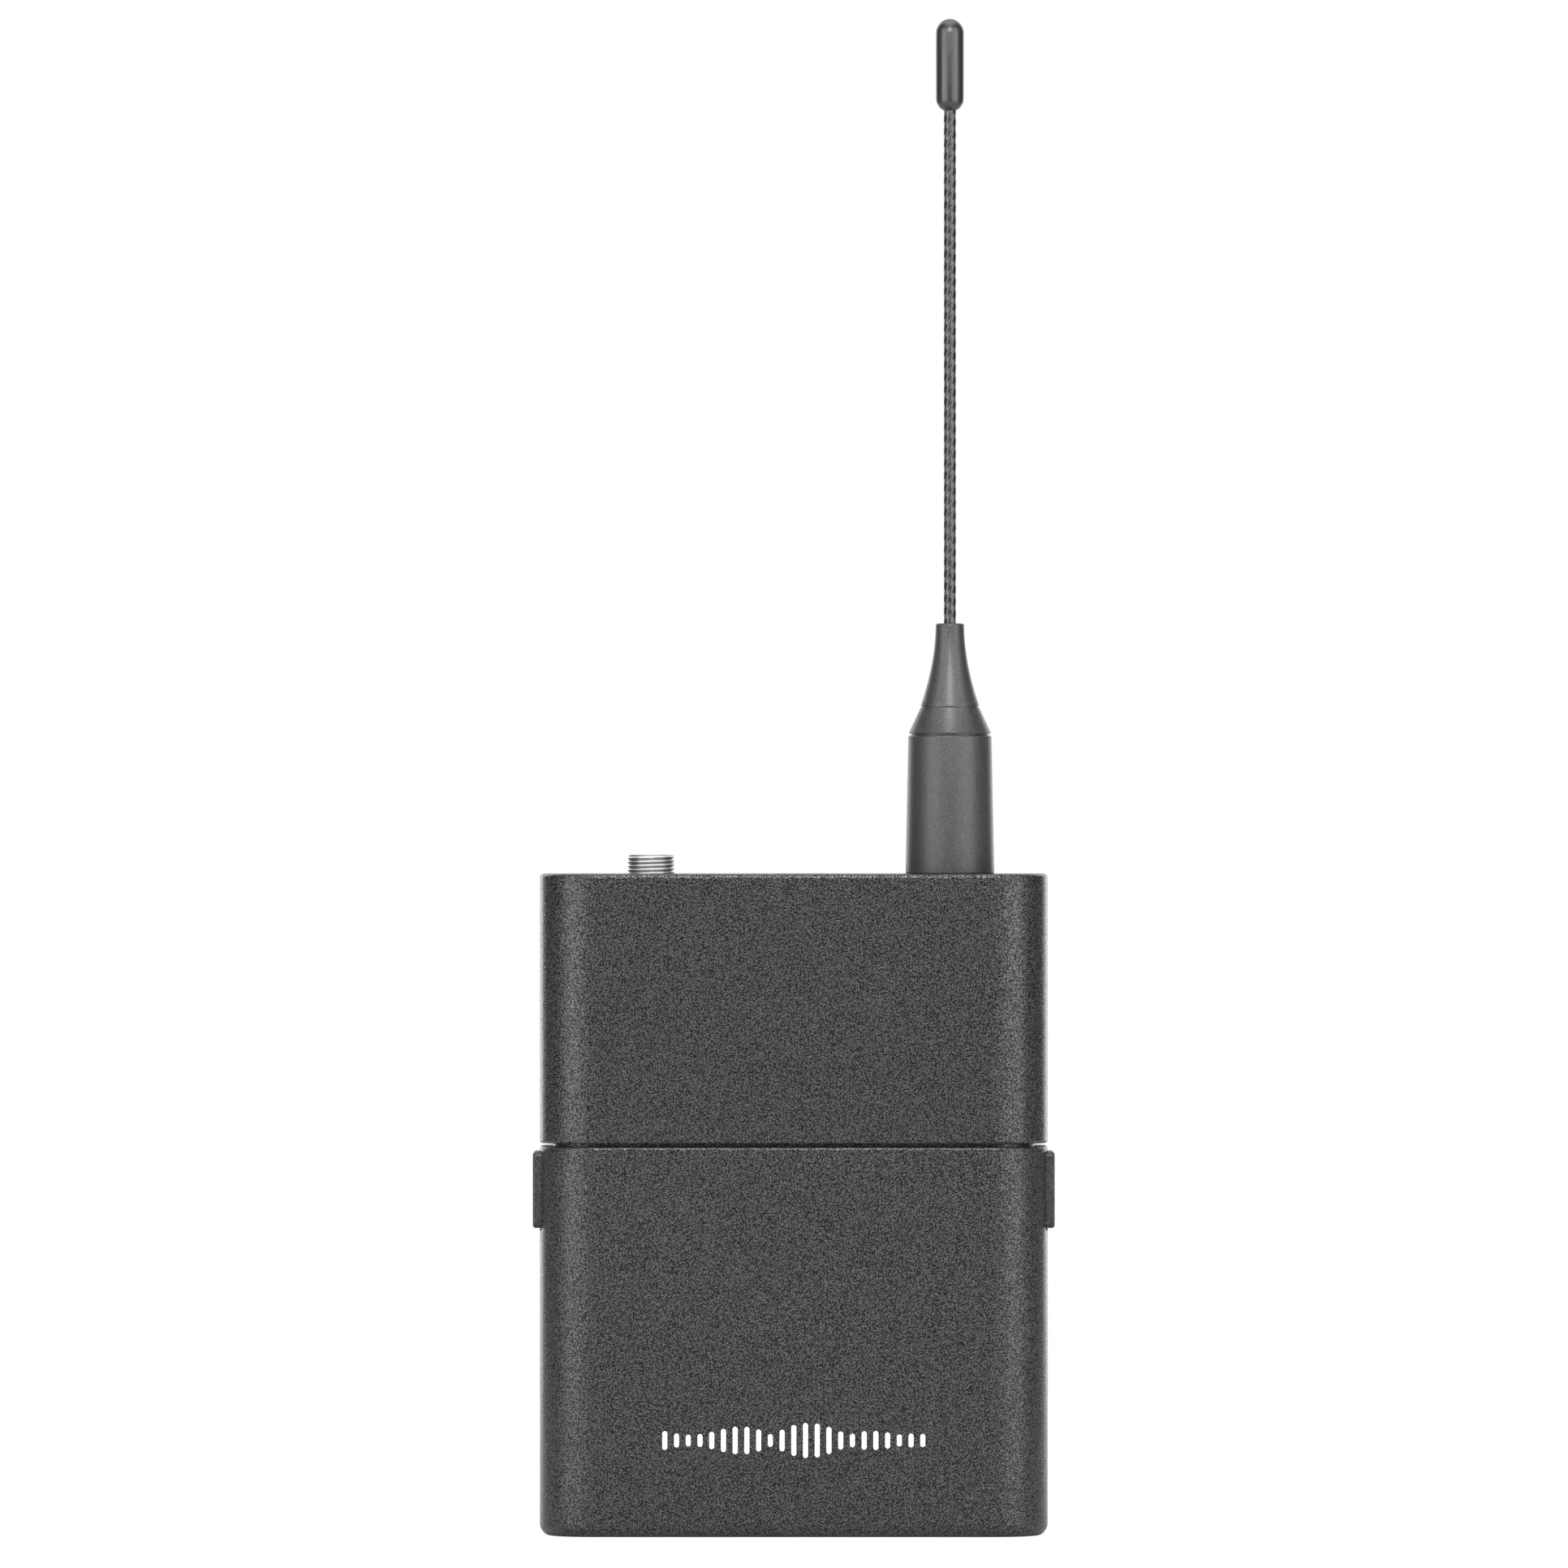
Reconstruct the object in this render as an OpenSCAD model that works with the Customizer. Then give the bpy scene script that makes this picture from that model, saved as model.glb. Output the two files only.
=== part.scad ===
// Wireless bodypack transmitter: a two-cell belt unit with a flip-down battery
// cover, a locking 3.5 mm input jack and a flexible whip antenna.
// Frame: X to the right, Y to the back, Z up. The origin is on the base,
// under the middle of the case.

/* [Case] */
// Width of the case across the front
body_w = 64; // [62:0.5:80]
// Depth of the case, front to back
body_d = 20; // [20:0.5:25]
// Height of the case, without jack and antenna
body_h = 83.3; // [82:0.1:105]
// Radius of the four upright edges
corner_r = 7; // [5:0.25:8.5]
// Wall thickness of the mouldings
wall = 1.5; // [1.25:0.05:1.8]
// Height of the middle of the seam between head and lower case
seam_z = 49.2; // [48.5:0.1:55]
// Width of the seam
seam_gap = 0.4; // [0.35:0.05:0.5]
// Radius of the top edge
top_edge_r = 0.5; // [0.2:0.05:1]
// Radius of the bottom edge
bottom_edge_r = 1.5; // [0.5:0.1:2]
// Radius of the edges at the seam
seam_edge_r = 0.35; // [0.1:0.05:0.6]
// Thickness of the tongue that bridges the seam inside
tongue_t = 0.4; // [0.3:0.05:0.4]

/* [Battery cover] */
// Distance of the hinge axis behind the front face
hinge_back = 3; // [2.9:0.05:3.4]
// Height of the hinge axis above the base
hinge_z = 3.5; // [3.4:0.05:4]
// Radius that the cover sweeps about its hinge
hinge_reach = 4.2; // [4.1:0.05:4.6]
// Radius of the hinge pins
pin_r = 0.75; // [0.6:0.05:0.8]
// Running clearance of the cover on its pins
pin_clear = 0.05; // [0.03:0.01:0.08]
// Gap at the parting lines of the cover
parting = 0.25; // [0.2:0.05:0.35]
// Thickness of the foam strip in the cover
pad_t = 0.6; // [0.4:0.1:0.8]

/* [Batteries] */
// Diameter of a cell
cell_d = 14.5; // [12:0.1:14.5]
// Length of a cell, with its contact nub
cell_l = 50.5; // [42:0.1:50.5]
// Room for the contact spring at one end of a cell
spring_room = 2.9; // [2.5:0.1:4]
// Clearance round a cell
cell_gap = 0.2; // [0.15:0.05:0.4]
// Thickness of the contact plates
contact_t = 0.4; // [0.3:0.05:0.6]
// Wall thickness of the tray
tray_wall = 1.2; // [1:0.1:1.4]

/* [Catches] */
// Height of a catch button
catch_h = 9.6; // [8:0.1:9.6]
// Width of a catch button, front to back
catch_w = 9.4; // [8:0.1:9.6]
// How far a catch button stands proud of the case
catch_proud = 0.85; // [0.6:0.05:1.2]
// Travel of a catch
catch_travel = 1; // [0.8:0.05:1.1]
// Clearance round a catch button
catch_gap = 0.15; // [0.1:0.05:0.2]
// Thickness of the strip of wall above a catch button
catch_strip = 0.55; // [0.4:0.05:1]

/* [Input jack] */
// Distance of the jack from the middle of the case
jack_x = 18; // [16:0.1:19]
// Major radius of the locking thread
jack_thread_r = 3; // [2.8:0.05:3.5]
// Radius of the 3.5 mm plug's bore
jack_bore_r = 1.8; // [1.78:0.01:1.85]
// How far the jack stands above the case
jack_proud = 2.36; // [2:0.02:4]
// Depth of the plug's bore from the jack's mouth
jack_depth = 15; // [14:0.1:16]

/* [Antenna] */
// Distance of the antenna from the middle of the case
antenna_x = 19.7; // [18:0.1:20]
// Height of the antenna's base sleeve
sleeve_h = 17.4; // [14:0.1:22]
// Radius of the sleeve at the case
sleeve_r_low = 5.6; // [5:0.05:6]
// Radius of the sleeve at its top
sleeve_r_top = 5.25; // [4.6:0.05:5.6]
// Height of the dark joint between sleeve and ring
joint_h = 0.3; // [0.2:0.05:0.5]
// Height of the tapered ring
ring_h = 3.25; // [2.5:0.05:4]
// Height of the flexible boot
boot_h = 10.5; // [8:0.1:14]
// Radius of the boot at its foot
boot_r_low = 3.73; // [3.4:0.01:4.2]
// Radius of the boot at its top
boot_r_top = 1.8; // [1.4:0.05:2.2]
// Radius of the whip
whip_r = 0.78; // [0.6:0.01:0.95]
// Free length of the whip between boot and tip
whip_free = 64.6; // [40:0.1:120]
// Radius of the tip
tip_r = 1.77; // [1.5:0.01:2.2]
// Length of the tip
tip_l = 11.65; // [8:0.05:15]

/* [Top controls] */
// Width of the mute slot, along its travel
mute_slot_w = 7; // [6:0.1:9]
// Depth of the mute slot, front to back
mute_slot_d = 3.4; // [3:0.1:4]
// Travel of the mute slider
mute_travel = 2; // [1.5:0.1:2.2]
// Radius of the light pipes
pipe_r = 0.75; // [0.5:0.05:1]

/* [Keys in the battery bay] */
// Radius of a key
key_r = 2.4; // [2:0.1:3]
// Distance of a key from the middle of the case
key_x = 9; // [6:0.1:12]
// Travel of a key
key_travel = 0.3; // [0.2:0.05:0.4]

/* [Belt clip] */
// Radius of the clip's wire
wire_r = 0.9; // [0.8:0.05:1]
// Half the distance between the clip's legs
clip_leg_x = 15; // [12:0.1:15.2]
// Height of the clip's pivot above the seam
clip_pivot_up = 16.8; // [15:0.1:24]
// Distance of the clip's pivot behind the case
clip_pivot_back = 3.2; // [2.9:0.1:4]
// Running clearance of the clip's ends in their lugs
clip_clear = 0.06; // [0.03:0.01:0.09]

/* [Hidden] */
$fn = 64;
eps = 0.01;

// Case, inside and out
half_w = body_w / 2;
half_d = body_d / 2;
in_x = half_w - wall;
in_y = half_d - wall;
in_r = corner_r - wall;
low_top = seam_z - seam_gap / 2;
head_low = seam_z + seam_gap / 2;
head_in_top = body_h - wall;
beyond = 20;
bay_top = low_top - 0.3;

// Cover hinge and parting plane
hinge_y = hinge_back - half_d;
split_y = hinge_y + hinge_reach;
knuckle_r = hinge_back - wall - 0.15;
lug_r = 1.9;
floor_end = 2.3;

// Cells and tray
cell_r = cell_d / 2;
cell_y = wall + pad_t + 0.15 + cell_r - half_d;
tray_z = hinge_z + hinge_reach - 0.5;
cover_side_gap = 0.2;
cell_floor = tray_z + tray_wall;
lower_cell_z = cell_floor + cell_r;
upper_cell_z = lower_cell_z + cell_d + 2 * cell_gap;
tray_top_in = upper_cell_z + cell_r + cell_gap;
tray_top = tray_top_in + 1;
tray_in_x = (cell_l + contact_t + spring_room) / 2;
tray_out_x = tray_in_x + 1.4;
tray_front = hinge_y + 0.8;
tray_back_in = cell_y + cell_r + cell_gap;
nub_l = 1;
nub_r = 2.75;
arm_out = tray_out_x - 3.3;
arm_in = arm_out - 2.6;
lug_in = arm_in - 2.6;
lug_out = arm_in - 0.2;

// Back plate of the chassis
plate_t = 0.95;
chassis_gap = tongue_t + 0.2;
plate_back = in_y - chassis_gap;
plate_front = plate_back - plate_t;
plate_x = in_x - 2.2;

// Inner face of the case wall near a front corner, as x at a given y
function corner_x_in(y) = let (dy = max(0, in_r - in_y - y))
    in_x - in_r + sqrt(max(0, in_r * in_r - dy * dy));

// Catches
catch_top = low_top - catch_strip - catch_gap;
catch_low = catch_top - catch_h;
catch_flange_x = corner_x_in(-catch_w / 2 - catch_gap) - 0.2;
catch_flange_t = 1.1;
catch_flange_in = catch_flange_x - catch_flange_t;
catch_lip = 0.8;
catch_edge_r = 0.35;
notch_low_gap = 0.3;
barb_z = (catch_low + catch_top) / 2;
barb_h = 5;
barb_front = -catch_w / 2 - 1.9;
barb_back = barb_front + 0.7;
barb_gap = 0.12;
barb_tip_x = corner_x_in(barb_front) + catch_travel - 0.1;
barb_arm_x = corner_x_in(barb_front) - 0.15;
barb_arm_in = barb_arm_x - 1.1;
catch_seat_x = min(catch_flange_in - 1.9, barb_arm_in) - catch_travel;
catch_seat_t = 1.2;
catch_coil_r = 1.5;
catch_wire_r = 0.25;

// Keys
fascia_front = wall + 2.3 - half_d;
fascia_t = 1;
fascia_half_w = catch_seat_x - catch_seat_t;
key_proud = 0.6;
key_flange_r = key_r + 0.8;
key_z = (tray_top + low_top) / 2;
key_board_front = fascia_front + 5;
key_switch_depth = 2.2;
key_plunger = 0.5;

// Boards
board_t = 1;
key_post_x = 17;
key_post_r = 1.6;
key_plug_x = 6;
key_plug_half_h = 1.3;
switch_half_w = 2.25;
shield_x = [-8, 17];
shield_size = [3, 16];
shield_t = 0.3;
board_back = plate_front - 1.75;
board_front = board_back - board_t;
board_half_w = fascia_half_w - 0.6;
nut_h = 2.2;
nut_r = 5.2;
board_low = tray_top + 0.8;
board_top = head_in_top - nut_h - 0.3;
screw_x = in_x - 9.5;
screw_head_r = 1.9;
screw_seat_r = screw_head_r + 0.2;
screw_seat_depth = 1;
screw_shank_r = 1;
screw_hole_r = screw_shank_r + 0.15;
screw_boss_r = 3.2;
low_screw_z = low_top - 5;
head_screw_z = head_low + 6.6;
board_screw_x = screw_x + 0.5;
board_screw_low = head_low + 1;
board_screw_top = head_low + 14.6;
board_boss_r = 2;
board_head_r = 1.5;
board_head_h = 0.9;
board_shank_r = 0.8;
boss_back = plate_back - 0.3;

// Jack
jack_top = body_h + jack_proud;
jack_bottom = jack_top - jack_depth;
jack_body_w = 7.4;
jack_flange_z = head_in_top - 0.8;
jack_relief_r = jack_thread_r - 0.2;
jack_hole_r = jack_thread_r + 0.1;

// Antenna, from the case up
sleeve_top = body_h + sleeve_h;
ring_low = sleeve_top + joint_h;
ring_top = ring_low + ring_h;
boot_low = ring_top + 0.1;
boot_top = boot_low + boot_h;
tip_low = boot_top + whip_free;
tip_top = tip_low + tip_l;
ferrule_r = 2;
ferrule_low = head_in_top - 4.3;
ferrule_top = sleeve_top - 2.7;
whip_low = ferrule_top - 8;
neck_r = 3.5;

// Top controls
mute_x = 1;
mute_slider_w = mute_slot_w - mute_travel - 0.4;
mute_slider_d = mute_slot_d - 0.3;
mute_flange_z = head_in_top - 0.1;
mute_flange_t = 0.8;
mute_switch_size = [9, 2.2, 3.6];
link_x = -9;
data_x = 9.5;
pipe_y = board_front - 1.6;
pipe_low = head_in_top - 4.6;

// Belt clip: y behind the case and z from the pivot, down one leg
clip_y = half_d + clip_pivot_back;
clip_z = seam_z + clip_pivot_up;
clip_lug_in = clip_leg_x + 2.6;
clip_lug_w = 4;
clip_lug_r = 2.6;
clip_elbow = 1.6;
clip_end_x = clip_leg_x + clip_elbow + 0.3;
clip_profile = [[clip_pivot_back, -clip_elbow], [4.3, -5], [5.4, -10.5], [5.8, -16], [5.7, -24], [4.4, -33],
    [2.6, -40.5], [1.6, -44.6], [2.1, -47.6], [3.2, -50]];
clip_corner = 4;

// ---------------------------------------------------------------- helpers

// Points of an arc of n steps about c
function arc(c, r, a0, a1, n = 6) =
    [for (i = [0:n]) c + r * [cos(a0 + (a1 - a0) * i / n), sin(a0 + (a1 - a0) * i / n)]];

// Outline of a wall from the axis out to reach, with rounded outer edges
function edge_outline(reach, z0, z1, r0, r1) = concat([[0, z0]],
    r0 > 0 ? arc([reach - r0, z0 + r0], r0, -90, 0) : [[reach, z0]],
    r1 > 0 ? arc([reach - r1, z1 - r1], r1, 0, 90) : [[reach, z1]],
    [[0, z1]]);

// Upright block with round corners r, and edges rounded by r0 below and r1 above
module rounded_block(w, d, r, z0, z1, r0 = 0, r1 = 0) {
    outline = edge_outline(r, z0, z1, r0, r1);
    cx = w / 2 - r;
    cy = d / 2 - r;
    for (c = [[cx, cy, 0], [-cx, cy, 90], [-cx, -cy, 180], [cx, -cy, 270]])
        translate([c[0], c[1], 0]) rotate([0, 0, c[2]])
            rotate_extrude(angle = 90) polygon(outline);
    for (a = [0, 180]) {
        rotate([0, 0, a]) translate([cx, cy, 0]) rotate([90, 0, 0])
            linear_extrude(2 * cy) polygon(outline);
        rotate([0, 0, a + 90]) translate([cy, cx, 0]) rotate([90, 0, 0])
            linear_extrude(2 * cx) polygon(outline);
    }
    translate([-cx, -cy, z0]) cube([2 * cx, 2 * cy, z1 - z0]);
}

// The cavity of the case, or the same shape smaller by gap
module cavity(z0, z1, gap = 0) {
    rounded_block(2 * (in_x - gap), 2 * (in_y - gap), in_r - gap, z0, z1);
}

// Box given by its low and high corners
module box(low, high) {
    translate(low) cube(high - low);
}

// Cylinder along Y from y0 to y1
module rod_y(x, z, r, y0, y1) {
    translate([x, y0, z]) rotate([-90, 0, 0]) cylinder(h = y1 - y0, r = r);
}

// Cylinder along X from x0 to x1
module rod_x(y, z, r, x0, x1) {
    translate([x0, y, z]) rotate([0, 90, 0]) cylinder(h = x1 - x0, r = r);
}

// Upright cylinder from z0 to z1
module rod_z(x, y, r, z0, z1) {
    translate([x, y, z0]) cylinder(h = z1 - z0, r = r);
}

// Both sides of the case, the right one as drawn
module both_sides() {
    children();
    mirror([1, 0, 0]) children();
}

function unit(v) = v / norm(v);

// Closed tube along a path, for paths that never run along up
module tube(path, r, sides = 8, up = [0, 1, 0]) {
    last = len(path) - 1;
    rings = [for (i = [0:last])
        let (t = unit(path[min(i + 1, last)] - path[max(i - 1, 0)]),
            n = unit(cross(t, up)), b = cross(t, n))
        for (k = [0:sides - 1]) path[i] + r * (cos(360 * k / sides) * n + sin(360 * k / sides) * b)];
    faces = concat(
        [for (i = [0:last - 1]) for (k = [0:sides - 1])
            let (a = i * sides + k, b = i * sides + (k + 1) % sides)
            for (f = [[a, a + sides, b], [b, a + sides, b + sides]]) f],
        [[for (k = [0:sides - 1]) k]],
        [[for (k = [sides - 1:-1:0]) last * sides + k]]);
    polyhedron(points = rings, faces = faces);
}

// Points of a coil along X from x0 to x1, with its radius going from r0 to r1
function coil(x0, x1, r0, r1, turns, y, z, steps = 14) =
    [for (i = [0:turns * steps])
        let (s = i / (turns * steps), a = 360 * i / steps, r = r0 + (r1 - r0) * s)
        [x0 + (x1 - x0) * s, y + r * cos(a), z + r * sin(a)]];

// Point on a smooth curve through p[i] and p[i + 1]
function blend_point(p, i, s) =
    let (last = len(p) - 1, a = p[max(i - 1, 0)], b = p[i], c = p[i + 1], d = p[min(i + 2, last)])
    0.5 * (2 * b + (c - a) * s + (2 * a - 5 * b + 4 * c - d) * s * s
        + (3 * b - a - 3 * c + d) * s * s * s);

// Smooth curve through all points, with n steps for each stretch
function smooth(p, n = 4) = concat(
    [for (i = [0:len(p) - 2]) for (k = [0:n - 1]) blend_point(p, i, k / n)], [p[len(p) - 1]]);

// ---------------------------------------------------------------- case

// Outer form of the lower case, cover and rear shell together
module lower_form() {
    rounded_block(body_w, body_d, corner_r, 0, low_top, bottom_edge_r, seam_edge_r);
}

// Space of the cover, cut back by gap from the parting line
module cover_zone(gap) {
    reach = hinge_reach + gap;
    translate([-beyond - half_w, hinge_y, hinge_z]) rotate([90, 0, 90])
        linear_extrude(2 * (half_w + beyond)) union() {
            translate([-beyond, 0]) square([beyond + reach, body_h]);
            translate([-beyond, -beyond]) square([beyond, beyond + 1]);
            circle(r = reach);
        }
}

// Window for a catch button, on the right side
module catch_window(low_gap) {
    box([in_x - 3.5, -catch_w / 2 - catch_gap, catch_low - low_gap],
        [half_w + 2, catch_w / 2 + catch_gap, catch_top + catch_gap]);
}

// Countersunk seat and hole of a case screw, from the back
module screw_hole(x, z) {
    rod_y(x, z, screw_seat_r, half_d - screw_seat_depth, half_d + 1);
    rod_y(x, z, screw_hole_r, in_y - 1, half_d);
}

// Boss behind a case screw's seat
module screw_boss(x, z) {
    rod_y(x, z, screw_boss_r, plate_back, in_y + 0.5);
}

module head_housing() color("#3a3a3b") difference() {
    union() {
        difference() {
            rounded_block(body_w, body_d, corner_r, head_low, body_h, seam_edge_r, top_edge_r);
            cavity(head_low - 1, head_in_top);
        }
        seam_tongue();
        for (x = [-screw_x, screw_x]) screw_boss(x, head_screw_z);
        both_sides() clip_lug();
    }
    for (x = [-screw_x, screw_x]) screw_hole(x, head_screw_z);
    both_sides() rod_x(clip_y, clip_z, wire_r + clip_clear, clip_lug_in - 1, clip_lug_in + clip_lug_w + 1);
    rod_z(-jack_x, 0, jack_hole_r, head_in_top - 1, body_h + 1);
    rod_z(antenna_x, 0, neck_r + 0.05, head_in_top - 1, body_h + 1);
    rod_z(link_x, pipe_y, pipe_r, head_in_top - 1, body_h + 1);
    rod_z(data_x, pipe_y, pipe_r, head_in_top - 1, body_h + 1);
    box([mute_x - mute_slot_w / 2, -mute_slot_d / 2, head_in_top - 1],
        [mute_x + mute_slot_w / 2, mute_slot_d / 2, body_h + 1]);
}

// Lip inside the seam, so that the gap shows no daylight
module seam_tongue() {
    lip_low = low_top - 0.5;
    difference() {
        union() {
            cavity(lip_low, head_low + 1.2, 0.15);
            cavity(head_low + 0.2, head_low + 1.2);
        }
        cavity(lip_low - 1, head_low + 2, tongue_t + 0.15);
    }
}

// Lug that holds one end of the belt clip
module clip_lug() {
    translate([clip_lug_in, clip_y, clip_z]) rotate([90, 0, 90]) linear_extrude(clip_lug_w) union() {
        circle(r = clip_lug_r);
        translate([-clip_pivot_back - wall / 2, -clip_lug_r])
            square([clip_pivot_back + wall / 2, 2 * clip_lug_r]);
    }
}

module rear_shell() color("#3a3a3b") difference() {
    union() {
        difference() {
            lower_form();
            cavity(wall, low_top + 1);
            cover_zone(parting);
        }
        for (x = [-screw_x, screw_x]) screw_boss(x, low_screw_z);
    }
    for (x = [-screw_x, screw_x]) screw_hole(x, low_screw_z);
    both_sides() catch_window(catch_gap);
}

module battery_cover() color("#3d3d3e") {
    difference() {
        union() {
            difference() {
                intersection() {
                    lower_form();
                    cover_zone(0);
                }
                cavity(wall, low_top + 1);
            }
            both_sides() cover_lug();
        }
        box([-tray_out_x - cover_side_gap, hinge_y + floor_end, -1],
            [tray_out_x + cover_side_gap, split_y + 1, hinge_z]);
        both_sides() {
            catch_window(notch_low_gap);
            box([arm_in - cover_side_gap, hinge_y + 0.3, -1],
                [arm_out + cover_side_gap, split_y + 1, hinge_z]);
            rod_x(hinge_y, hinge_z, pin_r + pin_clear, lug_in + 0.3, lug_out + 1);
            strike_pocket();
        }
    }
}

// Lug that turns on a hinge pin, reaching to the front wall and the floor
module cover_lug() {
    translate([lug_in, hinge_y, hinge_z]) rotate([90, 0, 90]) linear_extrude(lug_out - lug_in) union() {
        circle(r = lug_r);
        translate([-hinge_back + wall / 2, -hinge_z + wall / 2])
            square([hinge_back - wall / 2, hinge_z - wall / 2 + lug_r]);
    }
}

// Pocket in the cover's side that a catch's barb hooks into
module strike_pocket() {
    box([in_x - 3, barb_front - barb_gap, barb_z - barb_h / 2 - 0.3],
        [barb_tip_x + 0.15, barb_back + barb_gap, barb_z + barb_h / 2 + 0.3]);
}

module cover_pad() color("#232323") {
    box([-14, wall - half_d, cell_floor + 2], [14, wall + pad_t - half_d, tray_top_in - 2]);
}

module hinge_pins() color("#b9b9bb") both_sides() {
    rod_x(hinge_y, hinge_z, pin_r, lug_in + 0.4, arm_out);
}

// ---------------------------------------------------------------- chassis

module chassis() color("#262627") difference() {
    union() {
        intersection() {
            chassis_form();
            cavity(0, body_h, chassis_gap);
        }
        both_sides() rod_x(hinge_y, hinge_z, knuckle_r, arm_in, arm_out);
        for (z = [board_screw_low, board_screw_top]) for (x = [-board_screw_x, board_screw_x])
            rod_y(x, z, board_boss_r, board_back, boss_back);
    }
    both_sides() rod_x(hinge_y, hinge_z, pin_r, arm_in - 1, arm_out + 1);
    for (z = [low_screw_z, head_screw_z]) for (x = [-screw_x, screw_x])
        rod_y(x, z, screw_shank_r, board_back - 1, plate_back + 1);
    for (z = [board_screw_low, board_screw_top]) for (x = [-board_screw_x, board_screw_x])
        rod_y(x, z, board_shank_r, board_back - 1, plate_back + 1);
}

// Tray for two cells, with the back plate, the catch seats and the hinge arms
module chassis_form() {
    difference() {
        box([-tray_out_x, tray_front, tray_z], [tray_out_x, plate_back, tray_top]);
        box([-tray_in_x, tray_front - 1, cell_floor - 0.05],
            [tray_in_x, tray_back_in, tray_top_in]);
    }
    box([-plate_x, max(plate_front, tray_back_in), tray_z], [plate_x, plate_back, board_top]);
    both_sides() {
        box([arm_in, hinge_y - knuckle_r, hinge_z], [arm_out, hinge_y + knuckle_r, tray_z + 1]);
        box([catch_seat_x - catch_seat_t, fascia_front, tray_top - 1],
            [catch_seat_x, plate_back, bay_top]);
        for (z = [low_screw_z, head_screw_z])
            rod_y(screw_x, z, screw_shank_r + 1.4, board_back + 0.2, boss_back);
    }
}

module key_fascia() color("#2b2b2c") difference() {
    box([-fascia_half_w, fascia_front, tray_top], [fascia_half_w, fascia_front + fascia_t, bay_top]);
    for (x = [-key_x, key_x]) rod_y(x, key_z, key_r + 0.1, fascia_front - 1, fascia_front + fascia_t + 1);
}

// ---------------------------------------------------------------- boards

module main_board() color("#1d4a33") difference() {
    box([-board_half_w, board_front, board_low], [board_half_w, board_back, board_top]);
    for (z = [board_screw_low, board_screw_top]) for (x = [-board_screw_x, board_screw_x])
        rod_y(x, z, board_shank_r + 0.1, board_front - 1, board_back + 1);
}

module rf_shield() color("#c6c7c9") difference() {
    low = head_low + 5;
    high = low + shield_size[1];
    front = board_front - shield_size[0];
    box([shield_x[0], front, low], [shield_x[1], board_front, high]);
    box([shield_x[0] + shield_t, front + shield_t, low + shield_t],
        [shield_x[1] - shield_t, board_front + 1, high - shield_t]);
}

module key_board() color("#1d4a33") {
    board_x = fascia_half_w - 3.8;
    back = key_board_front + board_t;
    box([-board_x, key_board_front, tray_top + 0.2], [board_x, back, bay_top - 0.2]);
    for (x = [-key_post_x, key_post_x]) rod_y(x, key_z, key_post_r, back - eps, board_front);
    box([-key_plug_x, back - eps, key_z - key_plug_half_h],
        [key_plug_x, board_front, key_z + key_plug_half_h]);
}

// Tactile switch on the key board
module tact_switch(x) {
    front = key_board_front - key_switch_depth;
    box([x - switch_half_w, front, key_z - switch_half_w],
        [x + switch_half_w, key_board_front, key_z + switch_half_w]);
    rod_y(x, key_z, 1, front - key_plunger, front + eps);
}

module power_switch() color("#18181a") tact_switch(-key_x);
module sync_switch() color("#18181a") tact_switch(key_x);

// Key that stands through the fascia, just clear of its switch when pressed
module key(x) {
    back = key_board_front - key_switch_depth - key_plunger - key_travel - 0.05;
    rod_y(x, key_z, key_r, fascia_front - key_proud, back);
    rod_y(x, key_z, key_flange_r, fascia_front + fascia_t + 0.05, back);
}

module power_button() color("#8f1f1c") key(-key_x);
module sync_button() color("#bdbdbd") key(key_x);

// ---------------------------------------------------------------- batteries

// Cell along X, with its nub on the side given by 1 or -1
module cell(z, side) {
    body_l = cell_l - nub_l;
    nub_end = side * (tray_in_x - contact_t);
    shoulder = nub_end - side * nub_l;
    far = shoulder - side * body_l;
    rod_x(cell_y, z, cell_r, min(shoulder, far), max(shoulder, far));
    rod_x(cell_y, z, nub_r, min(nub_end, shoulder), max(nub_end, shoulder));
}

module battery_upper() color("#4e5356") cell(upper_cell_z, -1);
module battery_lower() color("#4e5356") cell(lower_cell_z, 1);

module battery_plus_contacts() color("#d0cfc9") {
    for (c = [[1, lower_cell_z], [-1, upper_cell_z]])
        translate([c[0] * (tray_in_x - contact_t / 2), cell_y, c[1]])
            cube([contact_t, 9, 9], center = true);
}

// Foot plate and conical coil at the flat end of a cell
module contact_spring(z, side) {
    foot = side * tray_in_x;
    cell_end = foot - side * spring_room;
    translate([foot - side * 0.15, cell_y, z]) cube([0.3, 9.4, 9.4], center = true);
    tube(coil(foot - side * 0.45, cell_end + side * 0.35, 4, 2.2, 3, cell_y, z), 0.32, 6, [1, 0, 0]);
}

module battery_spring_lower() color("#c9c9c4") contact_spring(lower_cell_z, -1);
module battery_spring_upper() color("#c9c9c4") contact_spring(upper_cell_z, 1);

// ---------------------------------------------------------------- catches

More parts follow.
